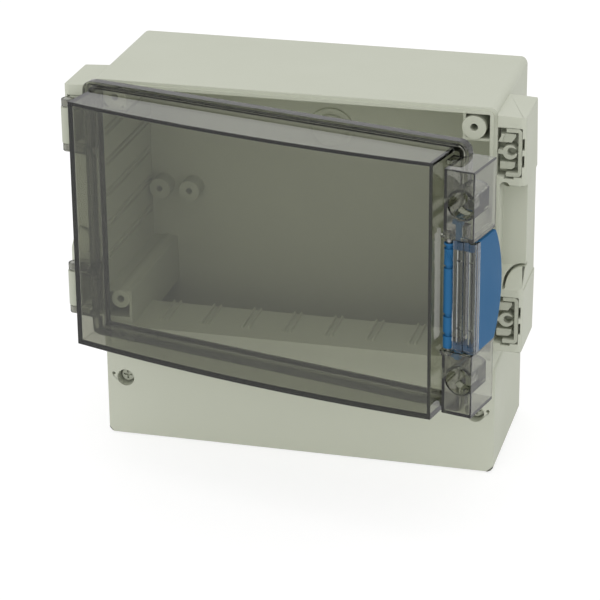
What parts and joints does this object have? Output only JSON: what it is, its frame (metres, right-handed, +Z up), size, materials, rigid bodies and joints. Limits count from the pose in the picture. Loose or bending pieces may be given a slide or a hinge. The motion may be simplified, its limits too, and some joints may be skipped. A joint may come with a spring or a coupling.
{
  "type": "hinged enclosure",
  "caption": "Grey wall enclosure with a smoke-tinted hinged door, squeeze latch, snap-in hinge and catch inserts and a closed terminal section.",
  "frame": {"origin": "centre of the flat bottom face", "axes": "+Z up, -Y towards the door, +X to the right as seen from the door"},
  "size_m": [0.2574, 0.1791, 0.2188],
  "materials": {
    "housing_grey": "fine texture",
    "insert_grey": "satin",
    "smoked_clear": "polished smoke tint",
    "clear_plastic": "polished",
    "lever_blue": "satin",
    "seal_black": "matt",
    "steel": "zinc plated"
  },
  "bodies": {
    "base": {"housing": "housing_grey", "terminal_cover": "housing_grey", "terminal_gasket": "seal_black", "terminal_screws": "insert_grey", "screw_seals": "seal_black", "catch_insert_upper": "insert_grey", "catch_insert_lower": "insert_grey", "hinge_insert_upper": "insert_grey", "hinge_insert_lower": "insert_grey"},
    "door": {"door_cover": "smoked_clear", "door_gasket": "seal_black", "hinge_pin_upper": "steel", "hinge_pin_lower": "steel", "lever_axle": "steel", "lever_spring": "steel"},
    "latch": {"latch_lever": "lever_blue", "latch_hook_upper": "lever_blue", "latch_hook_lower": "lever_blue", "grip_bar": "clear_plastic"}
  },
  "joints": [
    {"name": "door_hinge", "type": "hinge", "parent": "base", "child": "door", "pos_m": [-0.1228, -0.0607, 0.14535], "axis": [0, 0, -1], "range_deg": [-13.3, 91.7]},
    {"name": "latch_pivot", "type": "hinge", "parent": "door", "child": "latch", "pos_m": [0.10329, -0.12925, 0.14535], "axis": [0, 0, -1], "range_deg": [0, 18], "stiffness_Nm_per_rad": 0.15, "springref_deg": -5.73}
  ]
}
